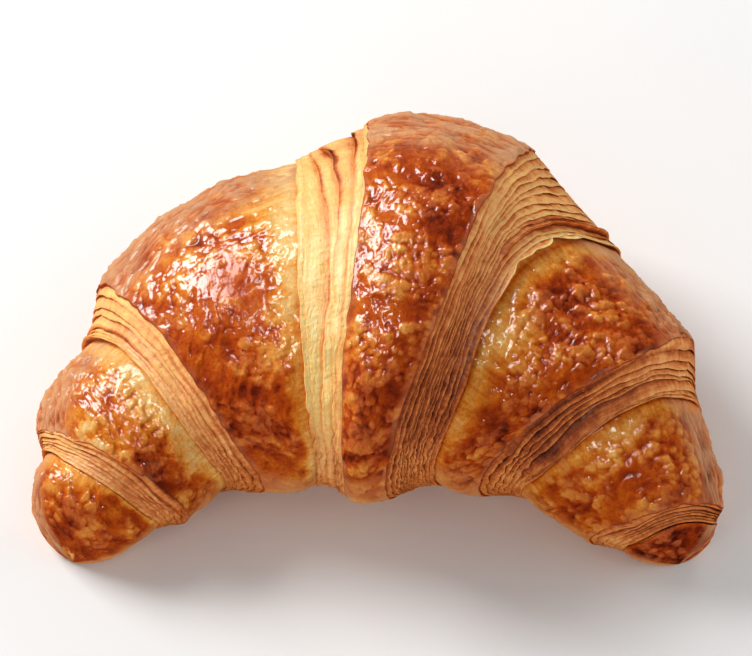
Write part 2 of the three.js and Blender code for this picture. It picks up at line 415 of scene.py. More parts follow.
def crustBrowning(surface, relief, crackShade, look, arm, isHorn):  # how brown, glazed and matte each point is, with painted light and shade on its relief and a painted sheen on the rims
    plain, degrees, onRim = surface["plain"], surface["degrees"], relief["onRim"]
    # Blister tops are painted paler, partly their matte tan and partly painted light, and the hollows
    # between them darker with painted shade.
    tops = smoothStep(0.18, 0.6, relief["lumps"])
    shadedValleys = (1 - smoothStep(0, 0.2, relief["lumps"])) * relief["clustered"]
    topPalenessAndLight = look.get("topPalenessAndLight", crustLook["topPalenessAndLight"])
    tone = look["tone"] + 0.11 * layered(plain, 11, 2, 61) + 0.12 * layered(plain, 3.6, 3, 67)
    tone = tone - topPalenessAndLight * tops * (1 + 0.6 * noise(plain, 6, 71)) + crustLook["valleyShade"] * shadedValleys
    # Painted light and shade on the wrinkles: ridges lighter, creases darker, most on the rims, which are
    # also painted paler as a grazing sheen.
    tone = tone + crackShade - (0.07 + 0.12 * onRim) * relief["wrinkles"] - 0.05 * onRim
    glaze = 1 - look.get("matteTops", 0.4) * tops - 0.7 * onRim
    if arm:
        tone, glaze = paleZone(surface, look, tone, glaze)
    wobble = 1 + 0.5 * layered(plain, 5, 2, 79)
    for patch in look.get("patches", ()):
        tone = tone + patch[4] * spotShape(surface, patch, wobble)
    for spot in look.get("dull", ()):
        glaze = glaze * (1 - spot[4] * spotShape(surface, spot))

    atBack = smoothStep(90, 150, degrees)
    lowness = np.sin(surface["angles"]) + 0.3 * atBack + 0.15 * layered(plain, 9, 2, 83)
    dusty = smoothStep(0.08, -0.4, lowness)
    # On the rims the skin colour is partly the thin matte wash and partly a painted grazing sheen; low down
    # it is the matte unglazed base.
    skinAndSheen = np.clip(0.6 + 0.6 * relief["along"] + 0.4 * noise(plain, 5, 97), 0, 1)
    skinAndSheen = skinAndSheen * onRim * (1 - smoothStep(160, 205, degrees)) + 0.12 * tops
    tone = tone * (1 - dusty) + (crustLook["bottomTone"] + 0.1 * layered(plain, 6, 2, 99)) * dusty
    glaze = np.clip(glaze * (1 - dusty), 0, 1)
    if not isHorn:
        edgeDistance = surface["fromEnd"] if arm else np.minimum(surface["fromEnd"], surface["fromStart"])
        atEdge = 1 - smoothStep(0, 1.6, edgeDistance)
        skinAndSheen = skinAndSheen + 0.25 * bell(edgeDistance, 0, 0.9) * (0.7 + noise(plain, 4, 98))
        tone = tone + (0.04 + 0.1 * noise(plain, 5, 89)) * atEdge * (1 - dusty)
        glaze = glaze * (1 - 0.4 * atEdge)
    skinAndSheen = skinAndSheen + (0.45 - 0.2 * smoothStep(20, 150, degrees)) * dusty
    return tone, glaze, skinAndSheen


def crustPiece(name, ends, look, arm=None, seam=0, columns=600, rows=110):
    angles = columnAngles(columns)[None, :]
    outward = arm["outward"] if arm else 1
    isHorn = seam == 2
    wide = ends[1][3]
    places = crustSections(ends, arm, seam, angles[0], rows)
    plain = rimPoints(places, angles)
    lengths = np.linalg.norm(np.diff(plain, axis=0), axis=-1)
    fromStart = np.concatenate([np.zeros((1, columns + 1)), np.cumsum(lengths, axis=0)])
    arc = angles * wide / 2 + 0 * fromStart
    strand = np.stack([arc, fromStart, 5.0 * len(name) + 0 * fromStart], axis=-1)
    surface = {
        "plain": plain, "strand": strand, "angles": angles, "degrees": np.degrees(angles), "wide": wide,
        "step": np.linspace(0, 1, rows)[:, None],
        "fromStart": fromStart, "fromEnd": fromStart[-1:] - fromStart,
    }
    relief = crustRelief(plain, strand, surface["degrees"], look)

    seamFade = smoothStep(0, 2, surface["fromEnd"])
    if not isHorn:
        seamFade = 0.3 + 0.7 * smoothStep(-0.6, 1.2, surface["fromEnd"])
    if arm:
        seamFade = seamFade * (0.25 + 0.75 * smoothStep(0, 1.2 * look["pale"], fromStart))
    else:
        seamFade = seamFade * (0.3 + 0.7 * smoothStep(-0.6, 1.2, fromStart))
    under = smoothStep(0.1, -0.5, np.sin(angles))
    proud = lump(plain) * (0.5 + 0.5 * seamFade) + relief["height"] * seamFade * (1 - 0.6 * under)
    crackShade = 0
    roundMm = math.pi / 360 * wide
    for crack in look.get("cracks", ()):
        depth = crackDepth(surface["degrees"], surface["step"], roundMm, fromStart[-1:], crack, plain)
        proud = proud - crack[2] * depth
        # where it is cut in, a crack is darkened with painted shade
        crackShade = crackShade + crack[3] * depth
    points = rimPoints(places, angles, proud)
    tone, glaze, skinAndSheen = crustBrowning(surface, relief, crackShade, look, arm, isHorn)

    def closingRow(edge, distance):
        middle = np.repeat(slid(edge[columns // 2][None], distance), columns + 1, axis=0)
        middle[..., 3] = 0
        return rimPoints(middle, angles[0])

    def lipRows(edge, way, edgeProud):  # a lip with a round nose, which the next fan starts under
        thick = crustLook["lipThickness"]
        nose = [(0.18, 0.3 * thick), (0.16, 0.65 * thick), (-0.1, thick), (-1.2, thick + 0.25), (-3.0, 2.5)]
        ring = [rimPoints(slid(edge, way * far), angles[0], edgeProud - down) for far, down in nose]
        return ring + [closingRow(edge, -way * 3.0)]

    def rootRows():  # runs on under the flap, towards the lip that the fan hangs from
        lip, foot = seamLip(arm, seam, angles[0]), seamFoot(arm, seam, angles[0])
        ring = []
        for along, loss in ((0.85, 0), (0.7, 0.4), (0.55, 3)):
            underFlap = fanSections(lip, foot, np.full(columns + 1, along), 1.0)
            ring.append(rimPoints(narrowed(underFlap, shape["flapGap"] + loss), angles[0], proud[0]))
        return ring + [closingRow(places[0], -outward * 9)]

    before = rootRows()[::-1] if arm else lipRows(places[0], -outward, proud[0])[::-1]
    after = [] if isHorn else lipRows(places[-1], outward, proud[-1])
    everything = np.concatenate([np.array(before), points] + ([np.array(after)] if after else []))

    def padded(values, startValue, endValue):
        head = np.repeat(values[:1] * 0 + startValue, len(before), axis=0)
        tail = np.repeat(values[-1:] * 0 + endValue, len(after), axis=0)
        return np.concatenate([head, values, tail])

    lipTone = min(look["tone"] + 0.08, 1)
    looks = {
        "bake": padded(np.clip(tone, 0, 1), look.get("paleTone", 0.08) if arm else lipTone, lipTone),
        "glaze": padded(glaze + 0 * fromStart, 0.3, 0.3),
        "skinAndSheen": padded(np.clip(skinAndSheen, 0, 1), 0, 0),
        "strand": np.concatenate([strand[:1]] * len(before) + [strand] + [strand[-1:]] * len(after)),
    }
    return layPiece(name, everything, looks, crustFinish)


# The fans. A leaf is: where its edge runs, as a share of the way from the crust to the fan's foot at
# five places round the roll, and how much of the fall its edge takes. Browned, thickened, flared and
# torn stretches are: the leaf, the middle and the reach in degrees, and how much.
fanLook = {
    "degrees": (5, 40, 75, 105, 140),
    "faceFall": 0.6,  # the share of the fall that lies in the leaves' faces
    "uneven": 0.4,  # mm
    "ribHeight": 0.3,
    "swell": 0.12,
    "flapThickness": 0.7,
    "tuck": (0.25, 1.0),  # how far a leaf runs on under the one above it, at least and at most
    "firstTuck": 1.4,
    "leafRows": (0, 0.2, 0.4, 0.58, 0.74, 0.87, 0.95, 1),
    "leafStep": 9,  # mm between the places where two leaves read the noise
    "bottomTone": 0.42,
    "tears": (),
    "flares": (),
    "thickened": (),
    "browned": (),
}


def roundRoll(angles, values):  # a smooth curve through the values at the five places
    anchors = np.array(fanLook["degrees"], float)
    degrees = np.clip(np.degrees(angles), anchors[0] - 30, anchors[-1] + 40)
    bends = np.polyfit(anchors, values, 4)
    curve = np.interp(np.degrees(angles), anchors, values)
    smooth = np.polyval(bends, np.clip(degrees, anchors[0], anchors[-1]))
    return 0.5 * curve + 0.5 * smooth


def fanPiece(name, arm, seam, ownLook, columns):
    look = {**fanLook, **ownLook}
    angles = columnAngles(columns)
    degrees = np.degrees(angles)
    lip, foot = seamLip(arm, seam, angles), seamFoot(arm, seam, angles)
    ring = angles * arm["feet"][seam][3] / 2
    band = np.linalg.norm(rimPoints(foot, angles) - rimPoints(lip, angles), axis=-1)
    drop = np.maximum((lip[..., 3] - foot[..., 3]) / 2, 0.5)
    count = len(look["leaves"])
    leafStep = look["leafStep"]

    def along2d(across, size, seed):  # noise over the fan's own surface
        spot = np.stack([ring, across + 0 * ring, 7.7 * seed + 0 * ring], axis=-1)
        return noise(spot, size, seed)

    def stretches(key, wanted):  # what a leaf is given round the roll, added up
        return sum(change * bell(degrees, around, width)
                   for leaf, around, width, change in look[key] if leaf == wanted)

    def leafEdges():
        ragged = 1 + 2.5 * bell(degrees, 8, 30)
        edges = [np.zeros(columns + 1)]
        for leaf, (shares, _) in enumerate(look["leaves"]):
            at = roundRoll(angles, shares)
            sway = 0.7 * along2d(at * 14, 15, 1) + 0.35 * along2d(at * 14, 6, 2)
            sway = sway + 0.14 * along2d(40 + leaf * leafStep, 3, 3)
            sway = sway + look["uneven"] * along2d(70 + leaf * leafStep, 9, 14)
            rag = 0.16 * along2d(leaf * leafStep, 2.6, 4) + 0.1 * along2d(leaf * leafStep, 1.2, 5)
            steadied = 0.7 if leaf == count - 1 else 1
            edges.append(at + (sway + ragged * rag) / band * steadied)
        for leaf, around, width, depth in look["tears"]:
            jag = 1 + 0.35 * along2d(60 + leaf, 1.6, 6)
            edges[leaf + 1] = edges[leaf + 1] - depth * jag * bell(degrees, around, width) / band
        for leaf in range(1, count + 1):
            edges[leaf] = np.maximum(edges[leaf], edges[leaf - 1] + 0.12 / band)
        return edges

    def edgeDrops():
        drops = [look["crustEdge"] * (1 + 0.3 * along2d(80, 12, 7))]
        for leaf, (_, edgeDrop) in enumerate(look["leaves"][:-1]):
            drops.append(edgeDrop * np.exp(1.3 * along2d(90 + leafStep * leaf, 9, 8)))
        for leaf, around, width, factor in look["thickened"]:
            drops[leaf + 1] = drops[leaf + 1] * (1 + factor * bell(degrees, around, width))
        return np.array(drops) / np.sum(drops, axis=0) * (1 - look["faceFall"])

    edges = leafEdges()
    drops = edgeDrops()
    widths = np.diff(np.array(edges), axis=0)
    faceFalls = look["faceFall"] * widths / widths.sum(axis=0)

    rows, bake, strands = [], [], []
    toneHere = roundRoll(angles, look["tone"]) + 0.16 * smoothStep(145, 180, degrees)
    dusty = smoothStep(0.1, -0.35, np.sin(angles))

    def addRow(along, fall, proud, tone, leaf, alongMm, places=None):
        if places is None:
            places = fanSections(lip, foot, along, fall)
        rows.append(rimPoints(places, angles, proud))
        bake.append((tone + 0 * angles) * (1 - 0.7 * dusty) + look["bottomTone"] * dusty)
        strands.append(np.stack([ring, alongMm + 0 * ring, 3.3 * leaf + 0 * ring], axis=-1))

    def closingPlace(plane, distance):
        middle = np.repeat(slid(plane[None], distance), columns + 1, axis=0)
        middle[..., 3] = 0
        return middle

    addRow(0, 0, 0, 0.5, 0, 0, closingPlace(arm["lips"][seam], -arm["outward"] * 6))
    addRow(0, 0, 0, 0.5, 0, 0, narrowed(slid(lip, -arm["outward"] * 4), 7))
    level = drops[0]
    for leaf in range(count):
        isLast = leaf == count - 1
        pitch = (edges[leaf + 1] - edges[leaf]) * band
        tuck = np.clip(0.5 * pitch, *look["tuck"]) if leaf else np.full(columns + 1, look["firstTuck"])
        begin = edges[leaf] - tuck / band
        lift = 0.06 + 0.45 * np.clip(along2d(120 + leaf * leafStep, 8, 9), 0, 1) ** 1.5
        lift = lift + stretches("flares", leaf)
        thick = look["flapThickness"] + 0 * level if isLast else np.maximum(drops[leaf + 1] * drop, 0.12)
        brown = stretches("browned", leaf)
        ownPlace = np.stack([ring, leaf * leafStep + 0 * ring, 0 * ring], axis=-1)
        faceTone = toneHere + 0.14 * along2d(leaf * leafStep, 9, 10) + 0.06 * noise(ownPlace, 2.5, 11)
        edgeTone = toneHere + look["edgeTone"] + brown
        creaseShadeTone = toneHere + look["creaseShadeTone"]
        swell = look["swell"] * np.clip(pitch / 3, 0, 1)
        for s in look["leafRows"]:
            along = begin + (edges[leaf + 1] - begin) * s
            across = s * pitch
            coarse = along2d(across * 0.25 + leaf * leafStep, 1.5, 12)
            fine = along2d(across * 0.3 + leaf * leafStep, 0.8, 13)
            ribs = np.clip(pitch / 2, 0.15, 1) * math.sin(math.pi * min(s + 0.1, 1)) * (coarse + 0.6 * fine)
            proud = lift * s ** 4 + swell * math.sin(math.pi * s)
            proud = proud + look["ribHeight"] * ribs - 0.1 * (1 - s) ** 6
            # Painted shade: the face of each leaf darkens towards the crease where it comes out from under
            # the one above.
            tone = faceTone + (edgeTone + 0.4 * brown - faceTone) * smoothStep(0.7, 1, s)
            tone = tone + brown * (0.1 + 0.7 * s ** 2) + (creaseShadeTone - faceTone) * (1 - s) ** 2.2
            addRow(along, level + faceFalls[leaf] * s ** 1.5, proud, tone, leaf, across)
        level = level + faceFalls[leaf]
        edge = edges[leaf + 1]
        # The lower row of each lip is darker with painted shade, and the rows tucked under it and under the
        # flap carry the crease's painted shade.
        for ahead, down, darker in ((0.09, 0.25, 0), (0.07, 0.6, 0.06)):
            addRow(edge + ahead / band, level, lift - down * thick, edgeTone + darker, leaf, pitch)
        if isLast:
            addRow(edge - 0.6 / band, level, lift * 0.6 - thick, creaseShadeTone, leaf, pitch)
            addRow(edge - 2.5 / band, level, -thick - 0.8, creaseShadeTone, leaf, pitch)
        else:
            inward = 0.45 * tuck
            addRow(edge - inward / band, level, lift * 0.5 - 0.85 * thick, creaseShadeTone + 0.05, leaf, pitch)
            level = level + drops[leaf + 1]
    addRow(0, 0, 0, 0.6, count, 0, closingPlace(arm["feet"][seam], -arm["outward"] * shape["flapDepth"]))

    looks = {"bake": np.clip(np.array(bake), 0, 1), "strand": np.array(strands)}
    return layPiece(name, np.array(rows), looks, leafFinish)


# Materials
def linear(hexColour):  # sRGB to linear
    parts = [int(hexColour[k:k + 2], 16) / 255 for k in (1, 3, 5)]
    return [part / 12.92 if part <= 0.04045 else ((part + 0.055) / 1.055) ** 2.4 for part in parts] + [1]


def addNode(tree, kind, inputs=(), **settings):
    node = tree.nodes.new(kind)
    for key, value in settings.items():
        setattr(node, key, value)
    for key, value in dict(inputs).items():
        if isinstance(value, bpy.types.NodeSocket):
            tree.links.new(value, node.inputs[key])
        else:
            node.inputs[key].default_value = value
    return node


def newFinish(name):
    finish = bpy.data.materials.new(name)
    finish.use_nodes = True
    finish.node_tree.nodes.clear()
    return finish, finish.node_tree


def noiseTexture(tree, place, scale, detail, roughness, distortion=0):
    return addNode(tree, "ShaderNodeTexNoise", {
        "Vector": place, "Scale": scale, "Detail": detail, "Roughness": roughness, "Distortion": distortion,
    }).outputs["Fac"]


def colourRamp(tree, fac, stops):
    ramp = addNode(tree, "ShaderNodeValToRGB", {"Fac": fac})
    elements = ramp.color_ramp.elements
    while len(elements) < len(stops):
        elements.new(0.5)
    for element, (place, colour) in zip(elements, stops):
        element.position = place
        element.color = linear(colour)
    return ramp.outputs["Color"]


def scaledChange(tree, value, middle, amount):  # how far a pattern is from its middle, times an amount
    change = addNode(tree, "ShaderNodeMath", {0: value, 1: middle}, operation="SUBTRACT").outputs[0]
    return addNode(tree, "ShaderNodeMath", {0: change, 1: amount}, operation="MULTIPLY").outputs[0]


def browned(tree, changes):  # the baked-in tone of the mesh, with the small changes of the patterns
    tone = addNode(tree, "ShaderNodeAttribute", attribute_name="bake").outputs["Fac"]
    for change in changes:
        tone = addNode(tree, "ShaderNodeMath", {0: tone, 1: change}, operation="ADD",
                       use_clamp=change is changes[-1]).outputs[0]
    return tone


# Egg-washed dough, baked: browned sugar and protein under a thin clear glaze, blistered by steam. It gives
# the eye deep amber that mottles to gold, and small crisp lights on every blister.
crustColours = {
    "stops": [
        (0.0, "#fde3a6"), (0.14, "#fbcb7c"), (0.28, "#f0a446"), (0.42, "#dc7d1e"), (0.55, "#c85806"),
        (0.68, "#ae3e00"), (0.8, "#8f2b00"), (0.9, "#6c1c00"), (1.0, "#481000"),
    ],
    "skinAndSheen": "#cf986e",  # the matte skin of the rims and the base, where the wash is thin; on the rims it is also a painted grazing sheen
    "mottleSize": 1.4,  # mm
    "mottleChange": 0.26,
    "mottleDepth": 0.4,  # mm
    "grainSize": 0.5,
    "grainChange": 0.22,
    "bubbleSize": 0.6,
    "bubbleDepth": 0.12,
    "roughness": 0.55,
    "washWeight": 0.95,
    "washRoughness": 0.045,
    "washIor": 1.58,
}


def makeCrustFinish():
    finish, tree = newFinish("EggWashedCrust")
    place = addNode(tree, "ShaderNodeTexCoord").outputs["Object"]
    glazeHere = addNode(tree, "ShaderNodeAttribute", attribute_name="glaze").outputs["Fac"]
    skinAndSheenHere = addNode(tree, "ShaderNodeAttribute", attribute_name="skinAndSheen").outputs["Fac"]
    mottle = noiseTexture(tree, place, 1 / (crustColours["mottleSize"] * mm), 4, 0.6)
    grain = noiseTexture(tree, place, 1 / (crustColours["grainSize"] * mm), 2, 0.5)
    bubbleScale = 1 / (crustColours["bubbleSize"] * mm)
    bubbles = addNode(tree, "ShaderNodeTexVoronoi", {"Vector": place, "Scale": bubbleScale,
                                                     "Smoothness": 0.4},
                      feature="SMOOTH_F1").outputs["Distance"]
    tone = browned(tree, [scaledChange(tree, mottle, 0.5, crustColours["mottleChange"]),
                          scaledChange(tree, grain, 0.5, crustColours["grainChange"])])
    colour = colourRamp(tree, tone, crustColours["stops"])
    # The skin colour is mixed in; on the rims it is partly a painted grazing sheen.
    skinAndSheen = linear(crustColours["skinAndSheen"])
    colour = addNode(tree, "ShaderNodeMix", {"Factor": skinAndSheenHere, "A": colour, "B": skinAndSheen},
                     data_type="RGBA").outputs["Result"]
    mottleDepth = crustColours["mottleDepth"] * mm
    bubbleDepth = crustColours["bubbleDepth"] * mm
    washBump = addNode(tree, "ShaderNodeBump", {"Height": mottle, "Strength": 0.2, "Distance": mottleDepth})
    bump = addNode(tree, "ShaderNodeBump", {"Height": bubbles, "Strength": 0.7, "Distance": bubbleDepth},
                   invert=True)
    bump = addNode(tree, "ShaderNodeBump", {"Height": mottle, "Strength": 0.7, "Distance": mottleDepth,
                                            "Normal": bump.outputs["Normal"]})
    wash = addNode(tree, "ShaderNodeMath", {0: glazeHere, 1: crustColours["washWeight"]},
                   operation="MULTIPLY").outputs[0]
    surface = addNode(tree, "ShaderNodeBsdfPrincipled", {
        "Base Color": colour, "Roughness": crustColours["roughness"], "IOR": 1.45, "Specular IOR Level": 0.1,
        "Normal": bump.outputs["Normal"],
        "Coat Weight": wash, "Coat Roughness": crustColours["washRoughness"],
        "Coat IOR": crustColours["washIor"], "Coat Normal": washBump.outputs["Normal"],
        "Subsurface Weight": 0.1, "Subsurface Radius": (1.0, 0.45, 0.2), "Subsurface Scale": 1.2 * mm,
    })
    addNode(tree, "ShaderNodeOutputMaterial", {"Surface": surface.outputs["BSDF"]})
    return finish


# The cut ends of the laminated dough: thin unglazed sheets, buttery and pale, toasted at their edges. They
# give the eye a soft satin face with fine fibres across it.
leafColours = {
    "stops": [
        (0.0, "#ffe59c"), (0.2, "#ffcd76"), (0.4, "#ffb46a"), (0.58, "#e38038"),
        (0.75, "#b04f14"), (0.9, "#7c3009"), (1.0, "#4c1903"),
    ],
    "fibrePitch": 0.9,  # mm round the roll
    "fibreLength": 2.0,
    "streakPitch": 0.7,  # mm across a leaf
    "streakLength": 7.0,
    "patternChange": 0.36,
    "mottleSize": 2.5,
    "mottleChange": 0.3,
    "crinkleSize": 1.6,
    "crinkleDepth": 0.6,
    "roughness": 0.5,
}


def makeLeafFinish():
    finish, tree = newFinish("LaminatedLeaves")
    place = addNode(tree, "ShaderNodeTexCoord").outputs["Object"]
    strand = addNode(tree, "ShaderNodeAttribute", attribute_name="strand").outputs["Vector"]
    fibreScale = (1 / leafColours["fibrePitch"], 1 / leafColours["fibreLength"], 1)
    fibrePlace = addNode(tree, "ShaderNodeMapping", {"Vector": strand, "Scale": fibreScale})
    fibres = noiseTexture(tree, fibrePlace.outputs["Vector"], 1, 3, 0.6)
    streakScale = (1 / leafColours["streakLength"], 1 / leafColours["streakPitch"], 1)
    streakPlace = addNode(tree, "ShaderNodeMapping", {"Vector": strand, "Scale": streakScale})
    streaks = noiseTexture(tree, streakPlace.outputs["Vector"], 1, 3, 0.65, 0.4)
    mottle = noiseTexture(tree, place, 1 / (leafColours["mottleSize"] * mm), 4, 0.65)
    crinkles = noiseTexture(tree, place, 1 / (leafColours["crinkleSize"] * mm), 3, 0.6)
    both = addNode(tree, "ShaderNodeMath", {0: fibres, 1: streaks}, operation="ADD").outputs[0]
    tone = browned(tree, [scaledChange(tree, both, 1.0, leafColours["patternChange"]),
                          scaledChange(tree, mottle, 0.5, leafColours["mottleChange"])])
    colour = colourRamp(tree, tone, leafColours["stops"])
    bump = addNode(tree, "ShaderNodeBump", {"Height": crinkles, "Strength": 0.9,
                                            "Distance": leafColours["crinkleDepth"] * mm})
    for height, strength, depth in ((fibres, 0.7, 0.3), (streaks, 0.8, 0.4), (mottle, 0.4, 0.3)):
        bump = addNode(tree, "ShaderNodeBump", {"Height": height, "Strength": strength,
                                                "Distance": depth * mm, "Normal": bump.outputs["Normal"]})
    surface = addNode(tree, "ShaderNodeBsdfPrincipled", {
        "Base Color": colour, "Roughness": leafColours["roughness"], "IOR": 1.45, "Specular IOR Level": 0.3,
        "Normal": bump.outputs["Normal"], "Coat Weight": 0.3, "Coat Roughness": 0.3,
        "Subsurface Weight": 0.2, "Subsurface Radius": (1.0, 0.5, 0.22), "Subsurface Scale": 1.5 * mm,
    })
    addNode(tree, "ShaderNodeOutputMaterial", {"Surface": surface.outputs["BSDF"]})
    return finish


crustFinish = makeCrustFinish()
leafFinish = makeLeafFinish()
print("finishes made")

# The camera looks down at 60 degrees, from 0.7 m, at a point over the middle of the base.
view = {"target": (-0.25, 0, 22), "elevation": 60, "distance": 700, "lens": 158.3}
cameraData = bpy.data.cameras.new("Camera")
cameraData.lens = view["lens"]
cameraData.sensor_width = 36
cameraData.sensor_fit = "HORIZONTAL"
cameraData.clip_start = 0.05
camera = bpy.data.objects.new("Camera", cameraData)
tilt = math.radians(view["elevation"])
away = Vector((0, -math.cos(tilt), math.sin(tilt)))
camera.location = (Vector(view["target"]) + away * view["distance"]) * mm
camera.rotation_euler = (math.pi / 2 - tilt, 0, 0)
bpy.context.scene.collection.objects.link(camera)
bpy.context.scene.camera = camera

# The croissant
fans = {
    ("left", 0): {
        "crustEdge": 0.5, "tone": (0.34, 0.04, 0.02, 0.06, 0.12), "edgeTone": 0.2, "creaseShadeTone": 0.58,
        "swell": 0.25, "ribHeight": 0.16, "faceFall": 0.5,
        "leaves": [((0.13, 0.06, 0.08, 0.07, 0.08), 0.5), ((0.25, 0.18, 0.15, 0.18, 0.23), 0.9),
                   ((0.34, 0.27, 0.38, 0.38, 0.66), 0.8), ((0.62, 0.58, 0.43, 0.56, 0.8), 1.0),
                   ((0.85, 0.84, 0.91, 0.88, 0.92), 0.6), ((1, 1, 1, 1, 1), 0)],
        "browned": [(2, 115, 30, 0.22), (3, 120, 25, 0.2), (1, 70, 60, 0.12), (1, 133, 12, 0.35),
                    (2, 134, 10, 0.2)],
        "flares": [(1, 133, 9, 1.4), (2, 134, 9, 1.3), (3, 126, 9, 0.6), (5, 60, 14, 0.2), (5, 15, 12, 0.6)],
        "tears": [(5, 30, 3, 0.7), (5, 20, 2, 0.9), (5, 12, 2, 1), (5, 118, 4, 0.7)],
    },
    ("right", 0): {
        # Its tone, darkest towards the front, is partly its own browning and partly painted shade on the
        # side turned from the key light.
        "crustEdge": 0.7, "tone": (0.64, 0.77, 0.62, 0.44, 0.42), "edgeTone": -0.1, "creaseShadeTone": 0.34,
        "faceFall": 0.66, "ribHeight": 0.36,
        "leaves": [((0.14, 0.11, 0.1, 0.09, 0.08), 0.4), ((0.26, 0.2, 0.18, 0.18, 0.17), 0.5),
                   ((0.33, 0.3, 0.29, 0.24, 0.26), 0.7), ((0.37, 0.335, 0.32, 0.27, 0.34), 0.5),
                   ((0.41, 0.37, 0.35, 0.31, 0.43), 0.5), ((0.49, 0.45, 0.41, 0.38, 0.54), 0.8),
                   ((0.515, 0.49, 0.47, 0.46, 0.64), 0.5), ((0.54, 0.53, 0.53, 0.53, 0.72), 0.7),
                   ((0.63, 0.6, 0.59, 0.58, 0.78), 0.4), ((0.72, 0.68, 0.66, 0.67, 0.84), 1.0),
                   ((0.78, 0.78, 0.74, 0.75, 0.93), 1.3), ((0.89, 0.88, 0.87, 0.86, 0.965), 0.3),
                   ((1, 1, 1, 1, 1), 0)],
        "browned": [(8, 134, 24, 0.3), (9, 128, 34, 0.3), (10, 150, 14, 0.4), (12, 128, 34, -0.2),
                    (11, 128, 34, -0.15)],
        "thickened": [(9, 128, 32, 4), (8, 128, 26, 2)],
        "flares": [(9, 128, 26, 1.0), (9, 154, 12, 0.7), (12, 105, 25, 0.4)],
        "tears": [(12, 118, 4, 2.2), (12, 106, 3, 0.9), (12, 97, 4, 1), (12, 132, 4, 1)],
        "flapThickness": 0.4,
    },
    ("left", 1): {
        "crustEdge": 0.6, "tone": (0.52, 0.44, 0.31, 0.3, 0.24), "edgeTone": 0.1, "creaseShadeTone": 0.42,
        "leaves": [((0.2, 0.16, 0.2, 0.18, 0.16), 0.6), ((0.38, 0.34, 0.34, 0.36, 0.36), 0.8),
                   ((0.5, 0.48, 0.44, 0.46, 0.5), 0.5), ((0.64, 0.62, 0.66, 0.76, 0.76), 0.9),
                   ((0.76, 0.74, 0.76, 0.84, 0.84), 0.5), ((0.88, 0.87, 0.9, 0.92, 0.92), 0.5),
                   ((1, 1, 1, 1, 1), 0)],
        "browned": [(3, 120, 30, 0.18), (0, 60, 40, 0.1)],
        "flares": [(6, 150, 22, 0.8), (3, 130, 20, 0.3)],
    },
    ("right", 1): {
        "crustEdge": 0.6, "tone": (0.6, 0.76, 0.68, 0.56, 0.52), "edgeTone": -0.08, "creaseShadeTone": 0.34,
        "swell": 0.25, "faceFall": 0.74, "uneven": 0.6,
        "leaves": [((0.15, 0.1, 0.1, 0.12, 0.18), 0.6), ((0.3, 0.2, 0.2, 0.25, 0.35), 0.7),
                   ((0.4, 0.3, 0.3, 0.36, 0.48), 0.6), ((0.52, 0.42, 0.42, 0.46, 0.57), 0.8),
                   ((0.66, 0.56, 0.52, 0.54, 0.64), 0.5), ((0.86, 0.92, 0.94, 0.93, 0.82), 0.8),
                   ((0.94, 0.96, 0.97, 0.965, 0.91), 0.5), ((1, 1, 1, 1, 1), 0)],
        "browned": [(0, 80, 60, 0.15)],
    },
    ("left", 2): {
        "crustEdge": 0.5, "tone": (0.52, 0.54, 0.45, 0.36, 0.34), "edgeTone": 0.06, "creaseShadeTone": 0.3,
        "leaves": [((0.14, 0.15, 0.14, 0.12, 0.14), 0.6), ((0.28, 0.3, 0.27, 0.26, 0.3), 0.7),
                   ((0.4, 0.38, 0.38, 0.4, 0.44), 0.5), ((0.52, 0.52, 0.55, 0.54, 0.56), 0.8),
                   ((0.66, 0.66, 0.68, 0.7, 0.7), 0.5), ((0.84, 0.82, 0.82, 0.84, 0.86), 0.5),
                   ((1, 1, 1, 1, 1), 0)],
        "browned": [(0, 60, 50, 0.15)],
    },
    ("right", 2): {
        "crustEdge": 0.5, "tone": (0.48, 0.62, 0.62, 0.6, 0.56), "edgeTone": 0.0, "creaseShadeTone": 0.26,
        "leaves": [((0.16, 0.15, 0.16, 0.14, 0.16), 0.6), ((0.3, 0.3, 0.27, 0.3, 0.32), 0.6),
                   ((0.42, 0.44, 0.42, 0.4, 0.46), 0.6), ((0.58, 0.56, 0.56, 0.58, 0.6), 0.7),
                   ((0.78, 0.76, 0.74, 0.76, 0.78), 0.5), ((1, 1, 1, 1, 1), 0)],
    },
}
